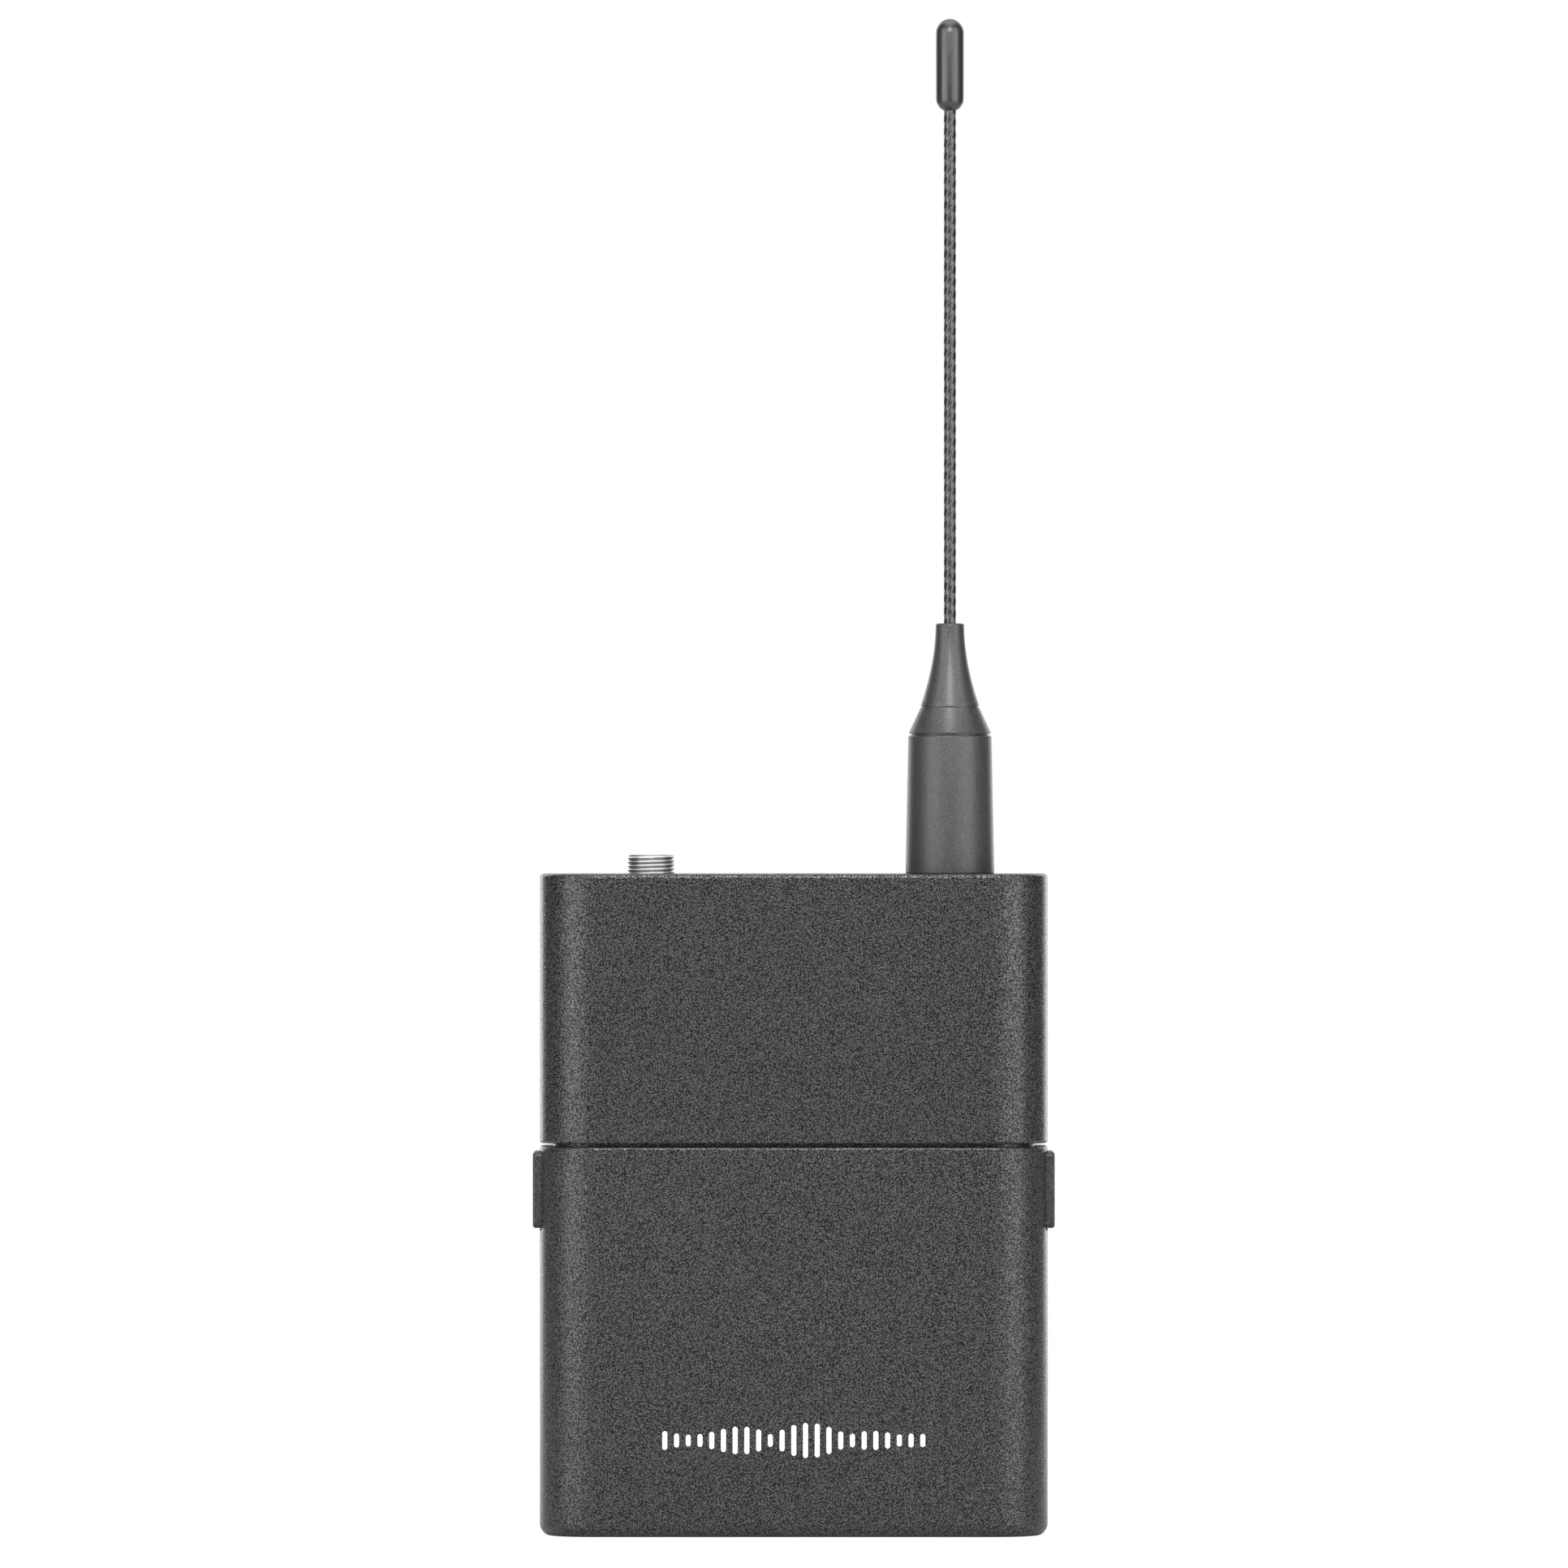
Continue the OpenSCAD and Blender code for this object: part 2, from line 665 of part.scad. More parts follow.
// Catch on the right side: button, flange with a rear lip, and a barbed nose
module catch_right_form() {
    cap_x = catch_flange_x - 0.2;
    arm_z = [barb_z - barb_h / 2, barb_z + barb_h / 2];
    lip_y = catch_w / 2 + catch_lip;
    translate([0, 0, barb_z]) rotate([0, 90, 0])
        rounded_block(catch_h, catch_w, 0.6, cap_x, half_w + catch_proud, 0, catch_edge_r);
    box([catch_flange_in, -catch_w / 2, catch_low + 0.6], [catch_flange_x, catch_w / 2, catch_top - 0.5]);
    box([catch_flange_in, catch_w / 2 - 1, catch_low + 0.6],
        [corner_x_in(-lip_y) - 0.2, lip_y, catch_top - 0.5]);
    box([barb_arm_in, -catch_w / 2, arm_z[0]], [catch_flange_x - 0.1, 1 - catch_w / 2, arm_z[1]]);
    box([barb_arm_in, barb_front, arm_z[0]], [barb_arm_x, 1 - catch_w / 2, arm_z[1]]);
    box([barb_arm_in, barb_front, arm_z[0]], [barb_tip_x, barb_back, arm_z[1]]);
}

module catch_right() color("#2e2e2f") catch_right_form();
module catch_left() color("#2e2e2f") mirror([1, 0, 0]) catch_right_form();

module catch_spring(side) {
    tube(coil(side * (catch_seat_x + catch_wire_r + 0.05), side * (catch_flange_in - catch_wire_r - 0.05),
        catch_coil_r, catch_coil_r, 4, 0, barb_z), catch_wire_r, 6, [1, 0, 0]);
}

module catch_spring_right() color("#c9c9c4") catch_spring(1);
module catch_spring_left() color("#c9c9c4") catch_spring(-1);

// ---------------------------------------------------------------- jack

module jack_socket() color("#cfcfcd") difference() {
    union() {
        rod_z(-jack_x, 0, jack_thread_r, body_h + 0.05, jack_top);
        rod_z(-jack_x, 0, jack_relief_r, head_in_top, body_h + 0.1);
        rod_z(-jack_x, 0, jack_thread_r + 0.6, jack_flange_z, head_in_top);
    }
    rod_z(-jack_x, 0, jack_bore_r, jack_flange_z - 1, jack_top + 1);
}

module jack_body() color("#1b1b1c") difference() {
    w = jack_body_w / 2;
    box([-jack_x - w, -w, jack_bottom - 1.2], [-jack_x + w, w, jack_flange_z]);
    rod_z(-jack_x, 0, jack_bore_r, jack_bottom, jack_flange_z + 1);
}

module jack_contacts() color("#d6c58c") {
    for (k = [0:2]) {
        z = jack_bottom + 1 + 3.4 * k;
        box([-jack_x - 0.9, jack_body_w / 2, z], [-jack_x + 0.9, board_front, z + 0.4]);
    }
}

// ---------------------------------------------------------------- antenna

module antenna_base() color("#2f2f30") translate([antenna_x, 0, 0]) difference() {
    union() {
        translate([0, 0, body_h]) cylinder(h = sleeve_h, r1 = sleeve_r_low, r2 = sleeve_r_top);
        rod_z(0, 0, neck_r, head_in_top - nut_h - 0.4, body_h + 0.5);
    }
    rod_z(0, 0, ferrule_r, head_in_top - nut_h - 1, ferrule_top);
    rod_z(0, 0, whip_r, ferrule_top - 1, sleeve_top + 1);
}

module antenna_nut() color("#b9b9bb") translate([antenna_x, 0, 0]) difference() {
    translate([0, 0, head_in_top - nut_h]) cylinder(h = nut_h, r = nut_r, $fn = 6);
    rod_z(0, 0, neck_r, 0, body_h);
}

module antenna_ferrule() color("#b8964a") translate([antenna_x, 0, 0]) difference() {
    rod_z(0, 0, ferrule_r, ferrule_low, ferrule_top);
    rod_z(0, 0, whip_r, whip_low, ferrule_top + 1);
}

module antenna_ring() color("#333334") translate([antenna_x, 0, 0]) difference() {
    union() {
        rod_z(0, 0, sleeve_r_top - 0.7, sleeve_top, ring_low + 0.1);
        translate([0, 0, ring_low]) cylinder(h = ring_h, r1 = sleeve_r_top - 0.08, r2 = boot_r_low);
    }
    rod_z(0, 0, whip_r, sleeve_top - 1, ring_top + 1);
}

// Boot whose radius falls off fast at first, then levels out
module antenna_boot() color("#333334") translate([antenna_x, 0, 0]) {
    taper = 1.85;
    steps = 16;
    edge = 0.15;
    rotate_extrude() polygon(concat(
        [[whip_r, boot_low - 0.1], [boot_r_low - 0.15, boot_low - 0.1], [boot_r_low - 0.15, boot_low]],
        [for (i = [0:steps - 1]) [boot_r_top + (boot_r_low - boot_r_top) * pow(1 - i / steps, taper),
            boot_low + boot_h * i / steps]],
        arc([boot_r_top - edge, boot_top - edge], edge, 0, 90, 3),
        [[whip_r, boot_top]]));
}

module antenna_whip() color("#4a4a4b") rod_z(antenna_x, 0, whip_r, whip_low, tip_low + 5);

module antenna_tip() color("#303031") translate([antenna_x, 0, 0]) difference() {
    edge = 0.6 * tip_r;
    union() {
        rotate_extrude() polygon(concat([[0, tip_low]],
            arc([tip_r - edge, tip_low + edge], edge, -90, 0), [[0, tip_low + edge]]));
        rod_z(0, 0, tip_r, tip_low + edge, tip_top - tip_r);
        translate([0, 0, tip_top - tip_r]) sphere(r = tip_r);
    }
    rod_z(0, 0, whip_r, tip_low - 1, tip_low + 5);
}

module antenna_contact() color("#d6c58c") {
    leaf_half_w = 1.2;
    leaf_t = 0.25;
    foot = ferrule_low + 0.15;
    box([antenna_x - leaf_half_w, ferrule_r, foot + leaf_t],
        [antenna_x + leaf_half_w, ferrule_r + leaf_t, ferrule_low + 1.5]);
    box([antenna_x - leaf_half_w, ferrule_r, foot], [antenna_x + leaf_half_w, board_front, foot + leaf_t]);
}

// ---------------------------------------------------------------- top controls

module mute_slider() color("#2a2a2b") {
    x0 = mute_x - mute_slot_w / 2 + 0.2;
    box([x0, -mute_slider_d / 2, mute_flange_z - mute_flange_t / 2],
        [x0 + mute_slider_w, mute_slider_d / 2, body_h - 0.15]);
    flange_end = x0 + mute_slider_w + mute_travel + 1;
    box([x0 - mute_travel - 1.2, -mute_slot_d / 2 - 0.7, mute_flange_z - mute_flange_t],
        [flange_end, mute_slot_d / 2 + 0.7, mute_flange_z]);
}

module mute_switch_body() color("#b9b9bb") {
    top = mute_flange_z - mute_flange_t - 0.1;
    box([mute_x - mute_switch_size[0] / 2, -mute_switch_size[1], top - mute_switch_size[2]],
        [mute_x + mute_switch_size[0] / 2, board_front, top]);
}

// Light pipe from a status light to the top face
module light_pipe(x) {
    rod_z(x, pipe_y, pipe_r, pipe_low, body_h);
}

module link_light_pipe() color("#dfe6e2") light_pipe(link_x);
module data_light_pipe() color("#dfe6e2") light_pipe(data_x);

module status_leds() color("#f2f2e6") {
    for (x = [link_x, data_x])
        box([x - 0.8, board_front - 2.2, pipe_low - 1.2], [x + 0.8, board_front, pipe_low]);
}

// ---------------------------------------------------------------- fasteners and plate

module case_screws() color("#8e8e90") {
    for (z = [low_screw_z, head_screw_z]) for (x = [-screw_x, screw_x]) difference() {
        union() {
            rod_y(x, z, screw_head_r, half_d - screw_seat_depth, half_d - 0.15);
            rod_y(x, z, screw_shank_r, board_back + 0.6, half_d - screw_seat_depth + eps);
        }
        screw_cross(x, z, half_d - 0.65);
    }
}

// Cross slot of a screw, cut from the back to y0
module screw_cross(x, z, y0) {
    for (s = [[1.1, 0.25], [0.25, 1.1]])
        box([x - s[0], y0, z - s[1]], [x + s[0], half_d + 1, z + s[1]]);
}

module board_screws() color("#b9b9bb") {
    for (z = [board_screw_low, board_screw_top]) for (x = [-board_screw_x, board_screw_x]) {
        rod_y(x, z, board_head_r, board_front - board_head_h, board_front);
        rod_y(x, z, board_shank_r, board_front - eps, boss_back);
    }
}

module type_plate() color("#9b9c9e") {
    box([-12.5, half_d, 20], [12.5, half_d + 0.12, 40]);
}

// ---------------------------------------------------------------- belt clip

// Half of the clip's path, from its pivot end down one leg to the cross bar
function clip_path() =
    let (elbow = [for (i = [0:6]) let (a = 15 * i)
            [clip_leg_x + clip_elbow * (1 - sin(a)), clip_y, clip_z - clip_elbow * (1 - cos(a))]],
        leg = smooth([for (p = clip_profile) [clip_leg_x, half_d + p[0], clip_z + p[1]]], 3),
        foot = leg[len(leg) - 1],
        bend = [for (i = [1:6]) let (a = 15 * i)
            [clip_leg_x - clip_corner * (1 - cos(a)), foot[1] + 0.45 * clip_corner * sin(a),
                foot[2] - 0.85 * clip_corner * sin(a)]])
    concat([[clip_end_x, clip_y, clip_z]], elbow, [for (i = [1:len(leg) - 1]) leg[i]], bend);

// Wire form: two pivot ends, two legs and a cross bar
module belt_clip() color("#a9a9ab") {
    half = clip_path();
    other = [for (i = [len(half) - 1:-1:0]) [-half[i][0], half[i][1], half[i][2]]];
    tube(concat(half, other), wire_r, 12);
    both_sides() rod_x(clip_y, clip_z, wire_r, clip_end_x, clip_lug_in + clip_lug_w);
}

head_housing();
rear_shell();
chassis();
main_board();
rf_shield();
key_board();
power_switch();
sync_switch();
key_fascia();
jack_socket();
jack_body();
jack_contacts();
antenna_base();
antenna_nut();
antenna_ferrule();
antenna_ring();
antenna_boot();
antenna_whip();
antenna_tip();
antenna_contact();
mute_switch_body();
link_light_pipe();
data_light_pipe();
status_leds();
battery_upper();
battery_lower();
battery_plus_contacts();
battery_spring_upper();
battery_spring_lower();
hinge_pins();
case_screws();
board_screws();
type_plate();
battery_cover();
cover_pad();
catch_left();
catch_right();
catch_spring_left();
catch_spring_right();
mute_slider();
power_button();
sync_button();
belt_clip();
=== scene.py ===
"""Looks of the wireless bodypack transmitter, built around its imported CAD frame."""

import math

import bmesh
import bpy
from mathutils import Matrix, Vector


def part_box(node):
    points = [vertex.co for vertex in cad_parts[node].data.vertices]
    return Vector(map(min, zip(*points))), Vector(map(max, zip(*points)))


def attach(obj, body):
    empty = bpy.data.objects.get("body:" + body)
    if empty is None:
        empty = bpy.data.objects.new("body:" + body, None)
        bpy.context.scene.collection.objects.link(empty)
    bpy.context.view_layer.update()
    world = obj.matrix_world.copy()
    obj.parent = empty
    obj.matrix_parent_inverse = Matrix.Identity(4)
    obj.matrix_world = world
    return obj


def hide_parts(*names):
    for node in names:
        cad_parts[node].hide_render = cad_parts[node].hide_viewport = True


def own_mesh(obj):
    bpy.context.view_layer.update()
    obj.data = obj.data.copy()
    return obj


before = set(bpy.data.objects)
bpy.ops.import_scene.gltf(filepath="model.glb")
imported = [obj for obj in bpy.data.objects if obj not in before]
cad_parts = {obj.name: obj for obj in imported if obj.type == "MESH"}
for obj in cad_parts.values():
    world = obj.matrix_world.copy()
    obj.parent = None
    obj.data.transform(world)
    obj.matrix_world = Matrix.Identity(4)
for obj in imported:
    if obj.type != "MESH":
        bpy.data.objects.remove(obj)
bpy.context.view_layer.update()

# Lengths on the object are in mm, and the stage's are in m.
MM = 0.001
TOP_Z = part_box("link_light_pipe")[1][2] / MM
FRONT_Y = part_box("battery_cover")[0][1] / MM
BACK_Y = -FRONT_Y
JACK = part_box("jack_socket")
JACK_X = (JACK[0][0] + JACK[1][0]) / 2 / MM
THREAD_R, THREAD_DEPTH = 3.0, 0.22
CELL_NUB = 1

# Softboxes in pairs: name, degrees off the camera's side, distance, width, power.
SOFTBOXES = (
    ("side_light", 53, 1.0, 0.5, 5.4),
    ("inner_light", 28, 1.0, 0.2, 2.2),
    ("rim_light", 150, 0.87, 0.3, 2.5),
)
SMALL_POWER, LARGE_POWER, TOP_POWER = 8.0, 3.7, 8.0
FLOOR_SHADE, FLOOR_GLOW, ROOM_GLOW = 0.6, 0.7, 0.17
FLOOR_RADIUS = 0.45
FLOOR_DROP = 0.02 * MM


# ---------------------------------------------------------------- shader nodes

class Surface:
    """A Principled material, with short ways to add procedural detail in object space, in mm."""

    def __init__(self, name, color, roughness, metallic=0.0, **sockets):
        self.material = bpy.data.materials.new(name)
        self.material.use_nodes = True
        self.tree = self.material.node_tree
        self.shader = self.tree.nodes["Principled BSDF"]
        self.color = color
        self.set("Base Color", (*color, 1.0))
        self.set("Roughness", roughness)
        self.set("Metallic", metallic)
        for socket, value in sockets.items():
            self.set(socket.replace("_", " ").title().replace("Ior", "IOR"), value)
        place = self.add("ShaderNodeTexCoord")
        self.scale = self.add("ShaderNodeMapping")
        self.scale.inputs["Scale"].default_value = (1 / MM,) * 3
        self.link(place.outputs["Object"], self.scale.inputs["Vector"])
        self.bump_normal = None

    def set(self, socket, value):
        self.shader.inputs[socket].default_value = value

    def add(self, kind, **values):
        node = self.tree.nodes.new(kind)
        for name, value in values.items():
            setattr(node, name, value)
        return node

    def link(self, a, b):
        self.tree.links.new(a, b)

    def noise(self, size, detail=2.0, rough=0.5, stretch=(1, 1, 1)):
        """Noise whose features are about size mm across."""
        node = self.add("ShaderNodeTexNoise")
        node.inputs["Scale"].default_value = 1 / size
        node.inputs["Detail"].default_value = detail
        node.inputs["Roughness"].default_value = rough
        vector = self.scale.outputs["Vector"]
        if stretch != (1, 1, 1):
            squeeze = self.add("ShaderNodeMapping")
            squeeze.inputs["Scale"].default_value = stretch
            self.link(vector, squeeze.inputs["Vector"])
            vector = squeeze.outputs["Vector"]
        self.link(vector, node.inputs["Vector"])
        return node.outputs["Fac"]

    def cells(self, size):
        """Distance to the nearest of scattered points that are about size mm apart."""
        node = self.add("ShaderNodeTexVoronoi")
        node.inputs["Scale"].default_value = 1 / size
        self.link(self.scale.outputs["Vector"], node.inputs["Vector"])
        return node.outputs["Distance"]

    def remap(self, value, low, high, to_low=0.0, to_high=1.0):
        node = self.add("ShaderNodeMapRange")
        for name, number in (("From Min", low), ("From Max", high), ("To Min", to_low), ("To Max", to_high)):
            node.inputs[name].default_value = number
        self.link(value, node.inputs["Value"])
        return node.outputs["Result"]

    def math(self, operation, a, b):
        node = self.add("ShaderNodeMath", operation=operation)
        for socket, value in zip(node.inputs, (a, b)):
            if isinstance(value, (int, float)):
                socket.default_value = value
            else:
                self.link(value, socket)
        return node.outputs[0]

    def mix(self, factor, a, b):
        """Colour a where factor is 0 and b where it is 1."""
        node = self.add("ShaderNodeMix", data_type="RGBA")
        self.link(factor, node.inputs["Factor"])
        for socket, value in ((node.inputs[6], a), (node.inputs[7], b)):
            if isinstance(value, tuple):
                socket.default_value = (*value, 1.0)
            else:
                self.link(value, socket)
        return node.outputs[2]

    def paint(self, color):
        self.link(color, self.shader.inputs["Base Color"])
        return self

    def shade(self, value):
        self.link(value, self.shader.inputs["Roughness"])
        return self

    def speckle(self, factor, spread):
        """Base colour that runs from darker to lighter by spread as factor goes from 0 to 1."""
        dark = tuple(c * (1 - spread) for c in self.color)
        light = tuple(c * (1 + spread) for c in self.color)
        return self.paint(self.mix(factor, dark, light))

    def bump(self, height, depth):
        """Relief of depth mm, added to what is there."""
        node = self.add("ShaderNodeBump")
        node.inputs["Strength"].default_value = 1.0
        node.inputs["Distance"].default_value = depth * MM
        self.link(height, node.inputs["Height"])
        if self.bump_normal:
            self.link(self.bump_normal, node.inputs["Normal"])
        self.bump_normal = node.outputs["Normal"]
        self.link(self.bump_normal, self.shader.inputs["Normal"])
        return self


def grained_plastic(name, color, roughness, grain, depth, spread, **sockets):
    """Plastic or rubber from a spark-eroded mould, with fine pits darker and less shiny than the peaks."""
    s = Surface(name, color, roughness, **sockets)
    fine = s.noise(grain, detail=0.0)
    coarse = s.noise(grain * 1.7, detail=0.0)
    clouds = s.remap(s.noise(14), 0.3, 0.7, -0.015, 0.015)
    grains = s.math("ADD", s.math("MULTIPLY", fine, 0.6), s.math("MULTIPLY", coarse, 0.4))
    peaks = s.math("ADD", s.remap(grains, 0.44, 0.6), clouds)
    s.speckle(peaks, spread)
    s.link(s.mix(peaks, (1 - spread,) * 3, (1.0, 1.0, 1.0)), s.shader.inputs["Specular Tint"])
    s.shade(s.remap(fine, 0.3, 0.7, roughness - 0.06, roughness + 0.06))
    return s.bump(grains, depth)


def smooth_rubber(name, color, roughness, **sockets):
    """Moulded rubber with a fine satin skin and faint wipe marks."""
    s = Surface(name, color, roughness, **sockets)
    fine = s.noise(0.22)
    marks = s.noise(2.4, detail=3.0, stretch=(1, 1, 0.35))
    s.speckle(s.remap(marks, 0.3, 0.7), 0.08)
    s.shade(s.remap(marks, 0.3, 0.7, roughness - 0.05, roughness + 0.05))
    return s.bump(fine, 0.012)


def turned_metal(name, color, roughness):
    """Plated metal with the fine rings a lathe leaves, and light handling marks."""
    s = Surface(name, color, roughness, metallic=1.0)
    rings = s.noise(0.9, detail=3.0, rough=0.7, stretch=(0.25, 0.25, 16))
    marks = s.noise(0.7, detail=4.0)
    s.speckle(s.remap(marks, 0.25, 0.75), 0.07)
    s.shade(s.remap(rings, 0.3, 0.7, roughness * 0.7, roughness * 1.4))
    return s.bump(rings, 0.0015)


def threaded_metal(name, color, roughness):
    """Plated thread with painted shade in its valleys, so that they are much darker than its crests."""
    # Painted shade: a dark colour laid into the thread's valleys.
    painted_valley_shade = (0.25, 0.248, 0.24)
    s = turned_metal(name, color, roughness)
    to_axis = s.add("ShaderNodeVectorMath", operation="MULTIPLY_ADD")
    to_axis.inputs[1].default_value = (1, 1, 0)
    to_axis.inputs[2].default_value = (-JACK_X, 0, 0)
    radius = s.add("ShaderNodeVectorMath", operation="LENGTH")
    s.link(s.scale.outputs["Vector"], to_axis.inputs[0])
    s.link(to_axis.outputs["Vector"], radius.inputs[0])
    above = s.math("ABSOLUTE", s.math("SUBTRACT", radius.outputs["Value"], THREAD_R - THREAD_DEPTH), 0)
    crests = s.remap(above, 0.25 * THREAD_DEPTH, 0.9 * THREAD_DEPTH)
    # The valleys get the painted shade and the crests keep the metal's own colour.
    return s.paint(s.mix(crests, painted_valley_shade, color))


def drawn_metal(name, color, roughness):
    """Sheet or wire with a fine drawn finish and small dull spots."""
    s = Surface(name, color, roughness, metallic=1.0)
    lines = s.noise(0.5, detail=3.0, rough=0.7, stretch=(0.2, 9, 9))
    spots = s.noise(1.6, detail=4.0)
    s.speckle(s.remap(spots, 0.3, 0.7), 0.1)
    s.shade(s.remap(s.math("MULTIPLY", lines, spots), 0.1, 0.4, roughness * 0.75, roughness * 1.35))
    return s.bump(lines, 0.001)


def printed_ink(name, color):
    """Matt screen print, a little uneven."""
    s = Surface(name, color, 0.55)
    s.speckle(s.remap(s.noise(0.3, detail=3.0), 0.3, 0.7), 0.04)
    return s.bump(s.noise(0.18), 0.006)


def circuit_board():
    """Solder mask over copper tracks, which show as slightly lighter and raised lines."""
    mask, over_track = (0.012, 0.085, 0.04), (0.03, 0.16, 0.075)
    s = Surface("solder_mask", mask, 0.35)
    brick = s.add("ShaderNodeTexBrick")
    brick.inputs["Scale"].default_value = 0.45
    brick.inputs["Mortar Size"].default_value = 0.035
    turn = s.add("ShaderNodeMapping")
    turn.inputs["Rotation"].default_value = (math.radians(90), 0, 0)
    s.link(s.scale.outputs["Vector"], turn.inputs["Vector"])
    s.link(turn.outputs["Vector"], brick.inputs["Vector"])
    s.paint(s.mix(brick.outputs["Fac"], mask, over_track))
    return s.bump(brick.outputs["Fac"], 0.03)


def cell_sleeve(name, node, side):
    """Plain shrink sleeve with a light band at the positive end and a thin dark line beside it.

    The nub and the flat end are bare steel. The positive end is on the side given by 1 or -1.
    """
    wrap, light = (0.085, 0.11, 0.14), (0.42, 0.43, 0.44)
    dark, steel = (0.02, 0.02, 0.022), (0.55, 0.55, 0.56)
    band, line, bare_rim, edge = 5.0, 0.5, 0.5, 0.03
    s = Surface(name, wrap, 0.28, coat_weight=0.5)
    ends = [corner[0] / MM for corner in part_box(node)]
    length = ends[1] - ends[0]
    split = s.add("ShaderNodeSeparateXYZ")
    s.link(s.scale.outputs["Vector"], split.inputs[0])
    from_plus = s.math("ADD", s.math("MULTIPLY", split.outputs["X"], -side), side * ends[side > 0])
    color = s.mix(s.remap(from_plus, band, band + edge), light, dark)
    color = s.mix(s.remap(from_plus, band + line, band + line + edge), color, wrap)
    bare = s.math("MAXIMUM", s.remap(from_plus, CELL_NUB + 2 * edge, CELL_NUB + edge),
                  s.remap(from_plus, length - bare_rim, length - bare_rim + edge))
    s.link(bare, s.shader.inputs["Metallic"])
    s.paint(s.mix(bare, color, steel))
    s.shade(s.remap(s.noise(1.2, detail=3.0), 0.3, 0.7, 0.22, 0.34))
    return s.bump(s.noise(3.0, stretch=(0.15, 1, 1)), 0.02)


def foam():
    """Closed-cell foam, darker in its pores."""
    s = Surface("cell_foam", (0.02, 0.02, 0.021), 0.95)
    pores = s.cells(0.35)
    s.speckle(s.remap(pores, 0.1, 0.7), 0.5)
    return s.bump(pores, 0.15)


def clear_plastic():
    """Diffusing light pipe, a little milky."""
    s = Surface("pipe_clear", (0.62, 0.68, 0.65), 0.22, coat_weight=0.6, transmission_weight=0.35)
    s.speckle(s.remap(s.noise(0.6), 0.3, 0.7), 0.05)
    return s.bump(s.noise(0.25), 0.005)


# Grained plastics: name, colour, roughness, grain in mm, relief in mm, spread of the colour.
HEAD_PLASTIC = grained_plastic("head_plastic", (0.026, 0.026, 0.0264), 0.24, 0.13, 0.05, 0.8,
                               specular_ior_level=1.0)
COVER_PLASTIC = grained_plastic("cover_plastic", (0.0281, 0.0281, 0.0286), 0.24, 0.12, 0.045, 0.8,
                                specular_ior_level=1.0)
INNER_PLASTIC = grained_plastic("inner_plastic", (0.022, 0.022, 0.023), 0.5, 0.3, 0.02, 0.25)
CATCH_PLASTIC = grained_plastic("catch_plastic", (0.03, 0.03, 0.031), 0.4, 0.2, 0.02, 0.3)
RUBBER = grained_plastic("antenna_rubber", (0.03, 0.03, 0.0303), 0.42, 0.085, 0.014, 0.34,
                         specular_ior_level=1.0)
TIP_RUBBER = smooth_rubber("tip_rubber", (0.01, 0.01, 0.0102), 0.34, specular_ior_level=1.0)
ROPE_COAT = smooth_rubber("rope_coat", (0.014, 0.014, 0.0143), 0.25, specular_ior_level=1.0)
NICKEL = turned_metal("nickel", (0.78, 0.77, 0.75), 0.24)
THREAD_NICKEL = threaded_metal("thread_nickel", (0.86, 0.855, 0.84), 0.4)
STEEL = drawn_metal("steel", (0.6, 0.6, 0.61), 0.3)
SPRING_WIRE = drawn_metal("spring_wire", (0.66, 0.66, 0.67), 0.22)
BRASS = turned_metal("brass", (0.78, 0.58, 0.28), 0.24)
RED_PLASTIC = grained_plastic("red_key", (0.32, 0.018, 0.014), 0.38, 0.35, 0.012, 0.12)
GREY_PLASTIC = grained_plastic("grey_key", (0.42, 0.42, 0.43), 0.42, 0.35, 0.012, 0.08)
PLATE = drawn_metal("plate_foil", (0.36, 0.37, 0.38), 0.42)
PRINT = printed_ink("print_white", (0.85, 0.85, 0.85))
DARK_PRINT = printed_ink("print_dark", (0.03, 0.03, 0.032))
BOARD = circuit_board()
UPPER_SLEEVE = cell_sleeve("upper_cell_sleeve", "battery_upper", -1)
LOWER_SLEEVE = cell_sleeve("lower_cell_sleeve", "battery_lower", 1)
FOAM = foam()
CLEAR = clear_plastic()


# ---------------------------------------------------------------- mesh helpers

def finish_mesh(name, bm, surface, body, sharp=30):
    """Turn a bmesh into a shaded piece that rides on a body."""
    bmesh.ops.recalc_face_normals(bm, faces=bm.faces)
    mesh = bpy.data.meshes.new(name)
    bm.to_mesh(mesh)
    bm.free()
    mesh.shade_smooth()
    mesh.set_sharp_from_angle(angle=math.radians(sharp))
    mesh.materials.append(surface.material)
    piece = bpy.data.objects.new(name, mesh)
    bpy.context.scene.collection.objects.link(piece)
    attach(piece, body)
    return piece


def arc(cx, cz, r, start, end, steps=6):
    """Points of an arc from start to end, in degrees."""
    turns = [math.radians(start + (end - start) * i / steps) for i in range(steps + 1)]
    return [(cx + r * math.cos(a), cz + r * math.sin(a)) for a in turns]


def skin(bm, rings, closed_path=False):
    """Quads between rings that all have the same number of points."""
    rows = [[bm.verts.new(Vector(p) * MM) for p in ring] for ring in rings]
    count = len(rows[0])
    pairs = list(zip(rows, rows[1:])) + ([(rows[-1], rows[0])] if closed_path else [])
    for a, b in pairs:
        for k in range(count):
            bm.faces.new((a[k], a[(k + 1) % count], b[(k + 1) % count], b[k]))
    if not closed_path:
        bm.faces.new(list(reversed(rows[0])))
        bm.faces.new(rows[-1])


